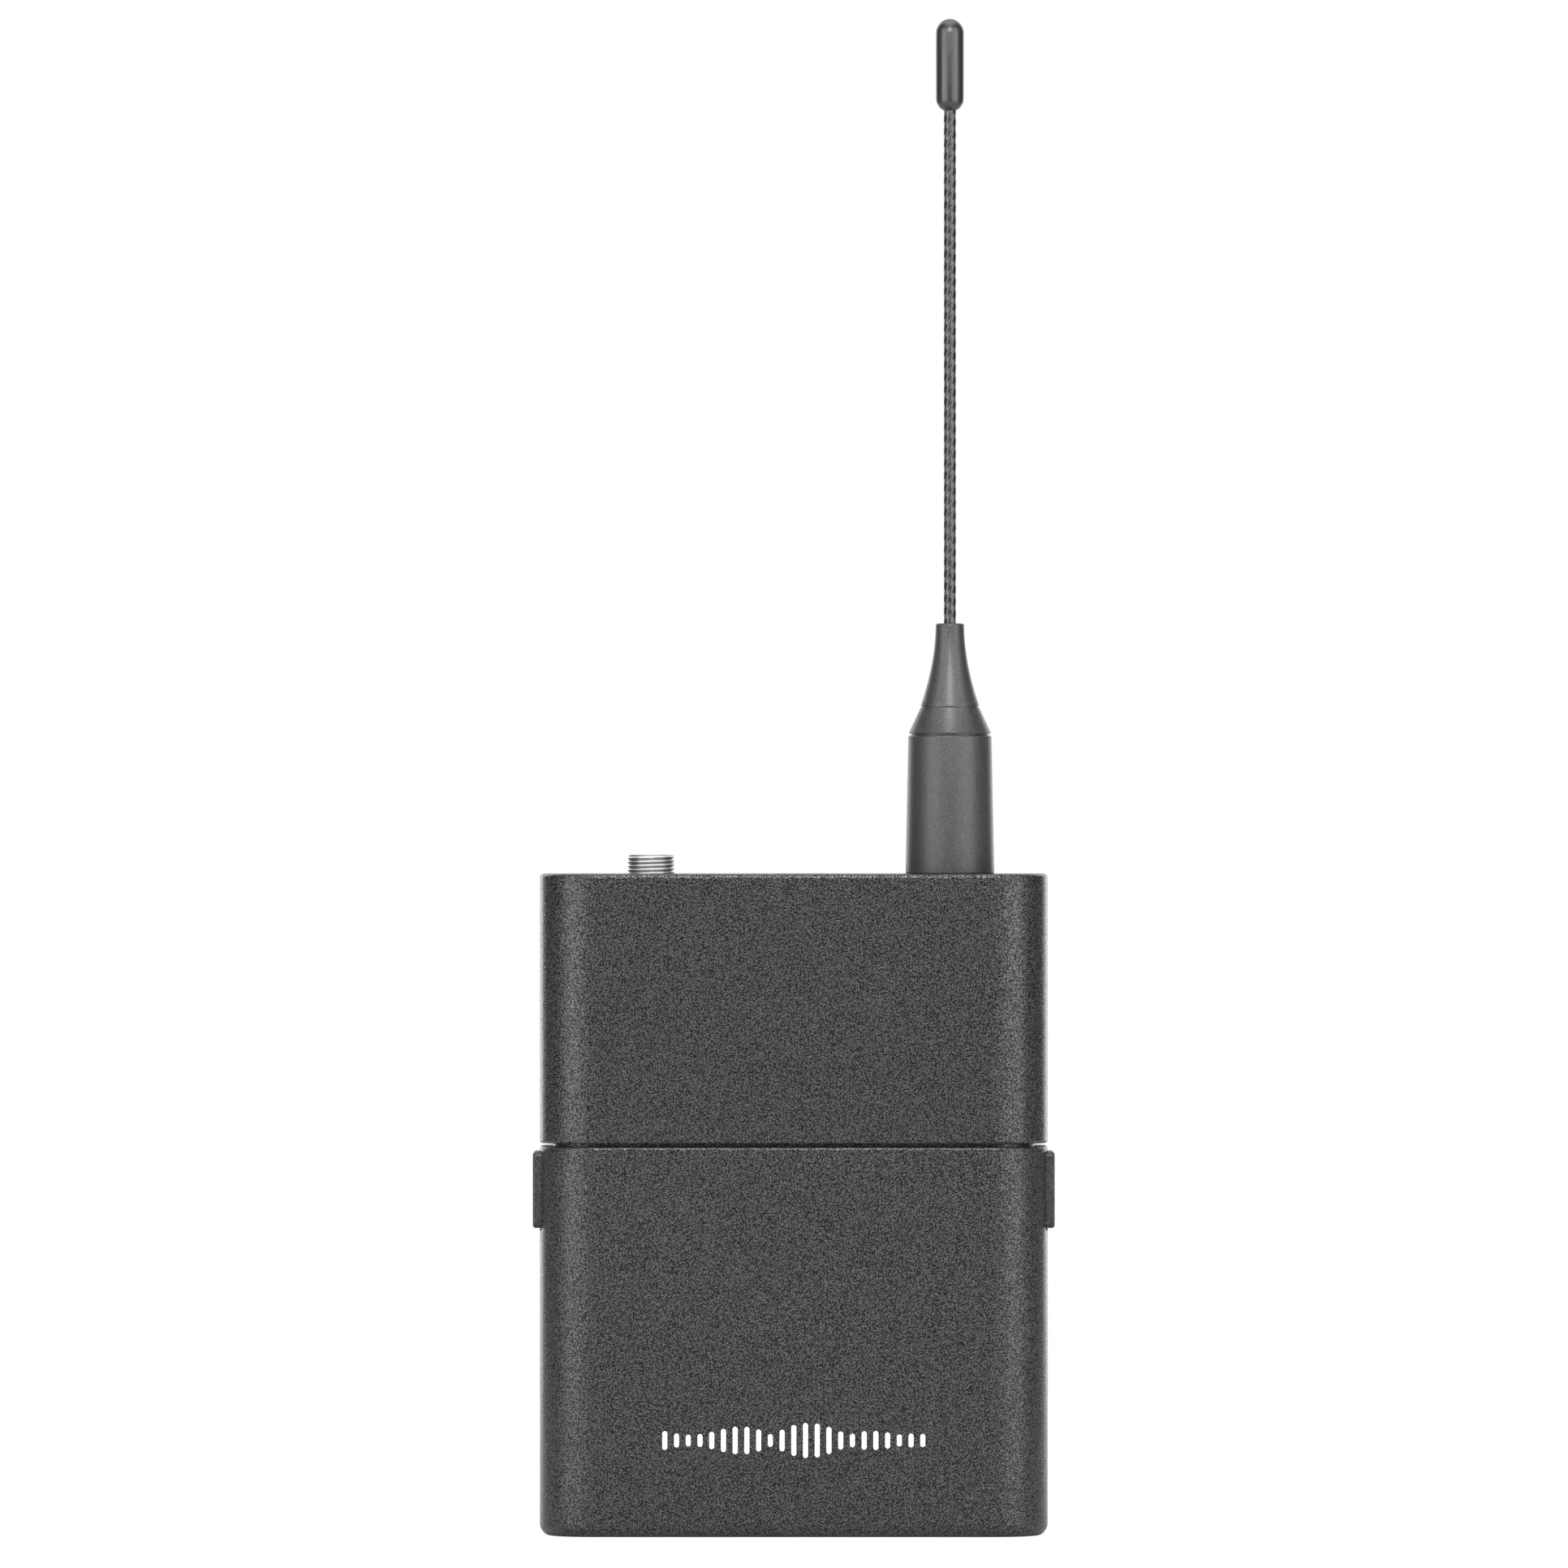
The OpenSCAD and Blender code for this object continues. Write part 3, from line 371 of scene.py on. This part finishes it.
def lathe(name, profile, x, surface, body, segments=128, sharp=30):
    """Closed profile of (radius, z) turned about an upright axis at x. A radius of 0 closes on the axis."""
    bm = bmesh.new()
    rows = []
    for r, z in profile:
        if r < 1e-6:
            rows.append([bm.verts.new(Vector((x, 0, z)) * MM)])
            continue
        turns = [2 * math.pi * k / segments for k in range(segments)]
        rows.append([bm.verts.new(Vector((x + r * math.cos(a), r * math.sin(a), z)) * MM) for a in turns])
    ends = [] if len(rows[0]) == 1 and len(rows[-1]) == 1 else [(rows[-1], rows[0])]
    for a, b in list(zip(rows, rows[1:])) + ends:
        for k in range(segments):
            n = (k + 1) % segments
            if len(a) == 1:
                bm.faces.new((a[0], b[n], b[k]))
            elif len(b) == 1:
                bm.faces.new((a[k], a[n], b[0]))
            else:
                bm.faces.new((a[k], a[n], b[n], b[k]))
    return finish_mesh(name, bm, surface, body, sharp)


def sweep(name, path, radius, surface, body, sides=16, up=(0, 1, 0)):
    """Round wire along a path that never runs along up."""
    up = Vector(up)
    points = [Vector(p) for p in path]
    rings = []
    for i, p in enumerate(points):
        along = (points[min(i + 1, len(points) - 1)] - points[max(i - 1, 0)]).normalized()
        side = along.cross(up).normalized()
        other = along.cross(side)
        turns = [2 * math.pi * k / sides for k in range(sides)]
        rings.append([p + radius * (math.cos(a) * side + math.sin(a) * other) for a in turns])
    bm = bmesh.new()
    skin(bm, rings)
    return finish_mesh(name, bm, surface, body, 60)


def coil(x0, x1, r0, r1, turns, y, z, steps=32):
    """Points of a coil along X whose radius goes from r0 to r1."""
    count = int(turns * steps)
    points = []
    for i in range(count + 1):
        s = i / count
        a = 2 * math.pi * i / steps
        r = r0 + (r1 - r0) * s
        points.append((x0 + (x1 - x0) * s, y + r * math.cos(a), z + r * math.sin(a)))
    return points


def middle(node):
    """Centre of a CAD node's box, in mm."""
    near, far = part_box(node)
    return [(a + b) / 2 / MM for a, b in zip(near, far)]


def low(node, axis):
    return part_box(node)[0][axis] / MM


def high(node, axis):
    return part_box(node)[1][axis] / MM


def radius_of(node, axis=0):
    """Half the width of a round CAD node."""
    return (high(node, axis) - low(node, axis)) / 2


def end_of(node, side):
    """Where a CAD node ends along X, on the side given by 1 or -1."""
    return high(node, 0) if side > 0 else low(node, 0)


# ---------------------------------------------------------------- CAD nodes that stay

NODE_SURFACES = {
    "head_housing": HEAD_PLASTIC, "rear_shell": COVER_PLASTIC, "battery_cover": COVER_PLASTIC,
    "chassis": INNER_PLASTIC, "key_fascia": INNER_PLASTIC, "jack_body": INNER_PLASTIC,
    "mute_slider": CATCH_PLASTIC, "catch_left": CATCH_PLASTIC, "catch_right": CATCH_PLASTIC,
    "power_switch": INNER_PLASTIC, "sync_switch": INNER_PLASTIC, "mute_switch_body": STEEL,
    "main_board": BOARD, "key_board": BOARD, "rf_shield": STEEL, "antenna_nut": NICKEL,
    "antenna_ferrule": BRASS, "antenna_contact": BRASS, "jack_contacts": BRASS,
    "battery_plus_contacts": NICKEL, "hinge_pins": STEEL, "case_screws": STEEL, "board_screws": STEEL,
    "power_button": RED_PLASTIC, "sync_button": GREY_PLASTIC, "link_light_pipe": CLEAR,
    "data_light_pipe": CLEAR, "status_leds": CLEAR, "battery_upper": UPPER_SLEEVE,
    "battery_lower": LOWER_SLEEVE, "type_plate": PLATE,
}


def dress_nodes():
    """Give each of these nodes its procedural material."""
    for node, surface in NODE_SURFACES.items():
        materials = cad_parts[node].data.materials
        if len(materials) == 0:
            materials.append(surface.material)
        for i in range(len(materials)):
            materials[i] = surface.material


# ---------------------------------------------------------------- antenna

ANTENNA_X = middle("antenna_tip")[0]
WHIP_BORE_R = 0.8


def antenna_sleeve():
    """Base sleeve: a slightly tapered barrel with soft edges, standing in the case's hole."""
    foot_r = radius_of("antenna_base")
    top_r = foot_r * 0.9375
    ferrule_r, neck_r, whip_r, whip_depth = 2.0, 3.5, 0.78, 2.7
    foot_edge, top_edge, gap = 0.15, 0.2, 0.01
    z0, z1 = TOP_Z, high("antenna_base", 2)
    neck = low("antenna_base", 2)
    outline = [(ferrule_r, neck), (neck_r, neck), (neck_r, z0 - gap)]
    outline += arc(foot_r - foot_edge, z0 + foot_edge, foot_edge, -90, 0)
    outline += arc(top_r - top_edge, z1 - top_edge, top_edge, 0, 90, 8)
    outline += [(whip_r, z1), (whip_r, z1 - whip_depth), (ferrule_r, z1 - whip_depth)]
    piece = lathe("antenna_sleeve", outline, ANTENNA_X, RUBBER, "case")
    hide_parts("antenna_base")


def antenna_collar():
    """Tapered ring above the sleeve, on a smaller spigot that leaves a dark joint."""
    z0, z1 = high("antenna_base", 2), high("antenna_ring", 2)
    foot_r, top_r = radius_of("antenna_ring"), radius_of("antenna_boot")
    joint, spigot_r = 0.24, foot_r - 0.3
    foot_edge, top_edge = 0.1, 0.05
    outline = [(WHIP_BORE_R, z0), (spigot_r, z0), (spigot_r, z0 + joint)]
    outline += arc(foot_r - foot_edge, z0 + joint + foot_edge, foot_edge, -90, 0, 4)
    outline += arc(top_r - top_edge, z1 - top_edge, top_edge, 0, 90, 4)
    outline += [(WHIP_BORE_R, z1)]
    piece = lathe("antenna_collar", outline, ANTENNA_X, RUBBER, "case")
    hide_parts("antenna_ring")


def antenna_boot():
    """Flexible boot whose radius falls off fast at first, then levels out."""
    joint, spigot_depth, bevel, top_edge = 0.13, 0.16, 0.06, 0.25
    z0, z1 = high("antenna_ring", 2) + joint, high("antenna_boot", 2)
    r0 = radius_of("antenna_boot")
    r1, taper, steps = 1.8, 1.85, 40
    spigot_r = r0 - spigot_depth
    outline = [(WHIP_BORE_R, z0 - joint), (spigot_r, z0 - joint), (spigot_r, z0)]
    for i in range(steps):
        t = i / steps
        r = r1 + (r0 - r1) * (1 - t) ** taper
        outline.append((r - (bevel if i == 0 else 0), z0 + (z1 - top_edge - z0) * t))
    outline += arc(r1 - top_edge, z1 - top_edge, top_edge, 0, 90, 6)
    outline += [(WHIP_BORE_R, z1)]
    piece = lathe("antenna_boot_skin", outline, ANTENNA_X, RUBBER, "case")
    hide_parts("antenna_boot")


def antenna_strands():
    """Plastic-coated steel rope: six strands laid right-handed, their valleys filled by the coat."""
    lay, strands, valley, hidden = 9.3, 6, 0.07, 2
    outer = radius_of("antenna_whip")
    z0, z1 = high("antenna_boot", 2) - hidden, low("antenna_tip", 2) + hidden
    sides, step = 72, 0.22
    count = int((z1 - z0) / step)
    rings = []
    for i in range(count + 1):
        z = z0 + (z1 - z0) * i / count
        ring = []
        for k in range(sides):
            a = 2 * math.pi * k / sides
            lobe = abs(math.cos(strands / 2 * (a - 2 * math.pi * z / lay)))
            r = outer - valley * (1 - lobe ** 0.8)
            ring.append((ANTENNA_X + r * math.cos(a), r * math.sin(a), z))
        rings.append(ring)
    bm = bmesh.new()
    skin(bm, rings)
    piece = finish_mesh("antenna_strands", bm, ROPE_COAT, "case", 70)
    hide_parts("antenna_whip")


def antenna_tip():
    """Rubber cap with round ends."""
    z0, z1 = low("antenna_tip", 2), high("antenna_tip", 2)
    r = radius_of("antenna_tip")
    edge, bore_r, bore_depth = 0.9 * r, 0.72, 5
    outline = [(0, z0 + bore_depth), (bore_r, z0 + bore_depth), (bore_r, z0)]
    outline += arc(r - edge, z0 + edge, edge, -90, 0, 12)
    outline += arc(0, z1 - r, r, 0, 90, 24)
    outline[-1] = (0, z1)
    piece = lathe("antenna_cap", outline, ANTENNA_X, TIP_RUBBER, "case", 96)
    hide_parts("antenna_tip")


# ---------------------------------------------------------------- jack

def jack_collar():
    """Nickel socket with a fine right-handed locking thread and a chamfered mouth."""
    bore, relief, flange_r, flange_depth = 1.8, 2.8, 3.6, 0.8
    pitch, sides, step = 0.5, 144, 0.025
    chamfer, chamfer_slope = 0.28, 1.2
    lip_r, recess_r, recess, mouth, mouth_depth = 2.35, 2.3, 0.06, 0.22, 0.3
    flange = low("jack_socket", 2)
    z0, z1 = TOP_Z + 0.05, high("jack_socket", 2)
    turns = [2 * math.pi * k / sides for k in range(sides)]

    def ring(r, z):
        return [(JACK_X + r * math.cos(a), r * math.sin(a), z) for a in turns]

    def threaded(z):
        points = []
        limit = min(THREAD_R, THREAD_R - chamfer + (z1 - z) * chamfer_slope)
        for a in turns:
            valley = 0.5 - 0.5 * math.cos(2 * math.pi * z / pitch - a)
            r = min(THREAD_R - THREAD_DEPTH * valley, limit)
            points.append((JACK_X + r * math.cos(a), r * math.sin(a), z))
        return points

    rings = [ring(bore, flange), ring(flange_r, flange), ring(flange_r, flange + flange_depth),
             ring(relief, flange + flange_depth), ring(relief, z0)]
    count = int((z1 - z0) / step)
    rings += [threaded(z0 + (z1 - z0) * i / count) for i in range(count + 1)]
    rings += [ring(lip_r, z1), ring(recess_r, z1 - recess), ring(bore + mouth, z1 - recess),
              ring(bore, z1 - mouth_depth)]
    bm = bmesh.new()
    skin(bm, rings, closed_path=True)
    piece = finish_mesh("jack_collar", bm, THREAD_NICKEL, "case", 70)
    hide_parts("jack_socket")


# ---------------------------------------------------------------- springs, pins and clip

def battery_springs():
    """Conical contact springs on their foot plates."""
    wire, foot_r, tip_r, turns = 0.32, 4, 2.2, 3
    foot_gap, cell_gap, plate_depth, plate_size = 0.45, 0.35, 0.3, 9.4
    for node, side, cell in (("battery_spring_upper", 1, "battery_upper"),
                             ("battery_spring_lower", -1, "battery_lower")):
        _, y, z = middle(cell)
        foot = end_of(node, side)
        path = coil(foot - side * foot_gap, end_of(cell, side) + side * cell_gap, foot_r, tip_r, turns, y, z)
        piece = sweep(node + "_wire", path, wire, SPRING_WIRE, "case", 12, (1, 0, 0))
        plate = contact_plate(node + "_plate", foot - side * plate_depth, foot, y, z, plate_size)
        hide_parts(node)
        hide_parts(node)


def contact_plate(name, x0, x1, y, z, size):
    """Thin plate with round corners, standing across X."""
    bm = bmesh.new()
    half, r = size / 2, 1.0
    loop = []
    for cy, cz, start in ((1, 1, 0), (-1, 1, 90), (-1, -1, 180), (1, -1, 270)):
        loop += [(y + cy * (half - r) + dy, z + cz * (half - r) + dz)
                 for dy, dz in arc(0, 0, r, start, start + 90)]
    skin(bm, [[(x, py, pz) for py, pz in loop] for x in (x0, x1)])
    return finish_mesh(name, bm, NICKEL, "case", 30)


def catch_springs():
    """Coiled springs behind the catches, each riding whole on its catch."""
    travel, wire, turns = 1.0, 0.25, 4
    for side, word in ((1, "right"), (-1, "left")):
        node, body, joint = "catch_spring_" + word, "latch_" + word, "catch_press_" + word
        _, y, z = middle(node)
        radius = radius_of(node, 2) - wire
        inner, outer = end_of(node, -side), end_of(node, side)
        path = coil(inner + side * wire, outer - side * wire, radius, radius, turns, y, z)
        piece = sweep(node + "_wire", path, wire, SPRING_WIRE, body, 10, (1, 0, 0))
        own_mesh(piece)
        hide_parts(node)


def smooth_curve(points, steps):
    """Catmull-Rom curve through all points."""
    last = len(points) - 1
    out = []
    for i in range(last):
        a, b = Vector(points[max(i - 1, 0)]), Vector(points[i])
        c, d = Vector(points[i + 1]), Vector(points[min(i + 2, last)])
        for k in range(steps):
            s = k / steps
            out.append(0.5 * (2 * b + (c - a) * s + (2 * a - 5 * b + 4 * c - d) * s ** 2
                              + (3 * b - a - 3 * c + d) * s ** 3))
    return out + [Vector(points[-1])]


def belt_clip():
    """Spring wire clip: two pivot ends, two shaped legs and a cross bar."""
    wire, leg_x, elbow, corner, straight = 0.9, 15.0, 1.6, 4.0, 0.3
    foot_out, foot_down = 0.45, 0.85
    pivot_y, pivot_z = BACK_Y + 3.2, 66.0
    end_x = high("belt_clip", 0)
    profile = [(3.2, -elbow), (4.3, -5), (5.4, -10.5), (5.8, -16), (5.7, -24), (4.4, -33),
               (2.6, -40.5), (1.6, -44.6), (2.1, -47.6), (3.2, -50)]
    steps = 10
    half = [Vector((end_x, pivot_y, pivot_z)), Vector((leg_x + elbow + straight, pivot_y, pivot_z))]
    for i in range(steps + 1):
        a = math.pi / 2 * i / steps
        half.append(Vector((leg_x + elbow * (1 - math.sin(a)), pivot_y, pivot_z - elbow * (1 - math.cos(a)))))
    half += smooth_curve([(leg_x, BACK_Y + y, pivot_z + z) for y, z in profile], 6)[1:]
    foot = half[-1]
    for i in range(1, steps + 1):
        a = math.pi / 2 * i / steps
        half.append(Vector((leg_x - corner * (1 - math.cos(a)), foot.y + foot_out * corner * math.sin(a),
                            foot.z - foot_down * corner * math.sin(a))))
    other = [Vector((-p.x, p.y, p.z)) for p in reversed(half)]
    piece = sweep("clip_wire", half + other, wire, SPRING_WIRE, "clip", 24)
    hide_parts("belt_clip")


# ---------------------------------------------------------------- foam

def foam_strip():
    """Foam strip inside the cover, flat on the cover and crowned towards the cells, with round edges."""
    (x0, y0, z0), (x1, y1, z1) = [[c / MM for c in corner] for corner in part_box("cover_pad")]
    edge, crown, stations, around = 0.45, 0.12, 72, 8
    mid_z, half_z = (z0 + z1) / 2, (z1 - z0) / 2
    bm = bmesh.new()
    rings = []
    for i in range(stations + 1):
        s = math.sin(math.pi / 2 * (i / stations * 2 - 1))
        x = (x0 + x1) / 2 + (x1 - x0) / 2 * s
        past = max(0, edge - min(x - x0, x1 - x))
        inset = edge - math.sqrt(max(0, edge ** 2 - past ** 2))
        face = y1 - inset - crown * s ** 2
        half = half_z - inset
        corners = arc(face - edge, mid_z - half + edge, edge, -90, 0, around)
        corners += [(face, mid_z)] + arc(face - edge, mid_z + half - edge, edge, 0, 90, around)
        rings.append([(x, y, z) for y, z in [(y0, mid_z - half), *corners, (y0, mid_z + half)]])
    skin(bm, rings)
    piece = finish_mesh("foam_strip", bm, FOAM, "cover", 50)
    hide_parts("cover_pad")


# ---------------------------------------------------------------- print

def flat_print(name, outlines, y, surface, body):
    """Closed outlines of (x, z), printed a little proud of a face at y that looks to the front."""
    sunk, proud = 0.01, 0.03
    bm = bmesh.new()
    for loop in outlines:
        skin(bm, [[(x, py, z) for x, z in loop] for py in (y + sunk, y - proud)])
    finish_mesh(name, bm, surface, body)


def sound_mark():
    """Row of upright bars with round ends, like the picture of a sound, printed on the cover."""
    centre_z, width, tallest, bars, bar_w = 12.2, 33.0, 4.5, 23, 0.62
    least, shortest = 0.32, bar_w / 2 + 0.05
    pitch = (width - bar_w) / (bars - 1)
    outlines = []
    for i in range(bars):
        s = i / (bars - 1) * 2 - 1
        swell = least + 0.68 * abs(math.sin(5.2 * s + 0.9) * math.cos(1.9 * s))
        half = max(shortest, tallest / 2 * swell)
        x = -width / 2 + bar_w / 2 + pitch * i
        outlines.append(arc(x, centre_z + half - bar_w / 2, bar_w / 2, 0, 180, 12)
                        + arc(x, centre_z - half + bar_w / 2, bar_w / 2, 180, 360, 12))
    flat_print("sound_mark", outlines, FRONT_Y, PRINT, "cover")


def band_arc(cx, cz, r, width, start, end):
    """Outline of a stroke along an arc."""
    return arc(cx, cz, r + width / 2, start, end, 24) + arc(cx, cz, r - width / 2, end, start, 24)


def key_marks():
    """Generic on-off sign on the power key, and two chasing arrows on the sync key."""
    stroke, r = 0.24, 1.15
    x, _, z = middle("power_button")
    left, right, foot, top = x - stroke / 2, x + stroke / 2, z + 0.2, z + 1.4
    outlines = [band_arc(x, z, r, stroke, 125, 415), [(left, foot), (right, foot), (right, top), (left, top)]]
    flat_print("power_mark", outlines, low("power_button", 1), PRINT, "power_key")
    x, _, z = middle("sync_button")
    head_start, tail_end, head_length, head_half = 10, 135, 0.5, 0.38
    outlines = []
    for turn in (0, 180):
        outlines.append(band_arc(x, z, r, stroke, turn + head_start, turn + tail_end))
        a = math.radians(turn + head_start)
        tip = (x + r * math.cos(a) + head_length * math.sin(a),
               z + r * math.sin(a) - head_length * math.cos(a))
        wings = [(x + (r + k) * math.cos(a), z + (r + k) * math.sin(a)) for k in (head_half, -head_half)]
        outlines.append([wings[0], wings[1], tip])
    flat_print("sync_mark", outlines, low("sync_button", 1), DARK_PRINT, "sync_key")


# ---------------------------------------------------------------- stage

def floor():
    """Pale table that looks white, with only a faint shadow round the object."""
    material = bpy.data.materials.new("table_white")
    material.use_nodes = True
    tree = material.node_tree
    shader = tree.nodes["Principled BSDF"]
    shader.inputs["Base Color"].default_value = (FLOOR_SHADE,) * 3 + (1,)
    shader.inputs["Roughness"].default_value = 0.9
    shader.inputs["Specular IOR Level"].default_value = 0.1
    shader.inputs["Emission Color"].default_value = (1, 1, 1, 1)
    rays = tree.nodes.new("ShaderNodeLightPath")
    glow = tree.nodes.new("ShaderNodeMath")
    glow.operation = "MULTIPLY"
    glow.inputs[1].default_value = FLOOR_GLOW
    tree.links.new(rays.outputs["Is Camera Ray"], glow.inputs[0])
    tree.links.new(glow.outputs[0], shader.inputs["Emission Strength"])
    bm = bmesh.new()
    bmesh.ops.create_circle(bm, cap_ends=True, segments=96, radius=FLOOR_RADIUS)
    mesh = bpy.data.meshes.new("table")
    bm.to_mesh(mesh)
    bm.free()
    mesh.materials.append(material)
    table = bpy.data.objects.new("table", mesh)
    table.location.z = -FLOOR_DROP
    bpy.context.scene.collection.objects.link(table)


def softbox(name, position, target, width, height, power):
    """Area light that faces target and is hidden from the camera."""
    lamp = bpy.data.lights.new(name, "AREA")
    lamp.shape = "RECTANGLE"
    lamp.size, lamp.size_y = width, height
    lamp.energy = power
    box = bpy.data.objects.new(name, lamp)
    box.location = position
    box.rotation_euler = (Vector(target) - Vector(position)).to_track_quat("-Z", "Y").to_euler()
    box.visible_camera = False
    bpy.context.scene.collection.objects.link(box)


def lights():
    """Pairs of upright softboxes, a small and a large light above the camera, and a wide one overhead."""
    centre = (0, 0, 0.08)
    box_z, box_height = 0.25, 1.1
    for name, turn, distance, width, power in SOFTBOXES:
        for side in (-1, 1):
            a = math.radians(turn)
            position = (side * math.sin(a) * distance, -math.cos(a) * distance, box_z)
            softbox(name, position, centre, width, box_height, power)
    softbox("small_light", (0, -1.0, 0.66), centre, 0.3, 0.3, SMALL_POWER)
    softbox("large_light", (0, -0.65, 1.3), centre, 0.9, 1.0, LARGE_POWER)
    softbox("top_light", (0, 0.25, 1.2), centre, 1.2, 1.2, TOP_POWER)


def room():
    """The world: white to the camera, and for the object a white wall behind it in a dim room."""
    world = bpy.data.worlds.new("room")
    world.use_nodes = True
    tree = world.node_tree
    background = tree.nodes["Background"]
    background.inputs["Color"].default_value = (1, 1, 1, 1)
    place = tree.nodes.new("ShaderNodeTexCoord")
    split = tree.nodes.new("ShaderNodeSeparateXYZ")
    wall = tree.nodes.new("ShaderNodeMapRange")
    wall_starts, wall_full = 0.84, 0.94
    for name, number in (("From Min", wall_starts), ("From Max", wall_full),
                         ("To Min", ROOM_GLOW), ("To Max", 1.0)):
        wall.inputs[name].default_value = number
    rays = tree.nodes.new("ShaderNodeLightPath")
    brightest = tree.nodes.new("ShaderNodeMath")
    brightest.operation = "MAXIMUM"
    tree.links.new(place.outputs["Generated"], split.inputs[0])
    tree.links.new(split.outputs["Y"], wall.inputs["Value"])
    tree.links.new(wall.outputs["Result"], brightest.inputs[0])
    tree.links.new(rays.outputs["Is Camera Ray"], brightest.inputs[1])
    tree.links.new(brightest.outputs[0], background.inputs["Strength"])
    bpy.context.scene.world = world


def camera():
    """Long lens, level and straight in front, framed as a catalogue shot."""
    view_width, distance, sensor = 197.8 * MM, 2.0, 36.0
    x, z = -1.23 * MM, 94.6 * MM
    data = bpy.data.cameras.new("camera")
    data.sensor_width = sensor
    data.lens = sensor * distance / view_width
    data.clip_start, data.clip_end = 0.1, 20
    cam = bpy.data.objects.new("camera", data)
    cam.location = (x, -distance, z)
    cam.rotation_euler = (math.radians(90), 0, 0)
    bpy.context.scene.collection.objects.link(cam)
    bpy.context.scene.camera = cam
    bpy.context.scene.view_settings.view_transform = "Standard"


camera()
lights()
room()
floor()
dress_nodes()
antenna_sleeve()
antenna_collar()
antenna_boot()
antenna_strands()
antenna_tip()
jack_collar()
battery_springs()
catch_springs()
belt_clip()
foam_strip()
sound_mark()
key_marks()
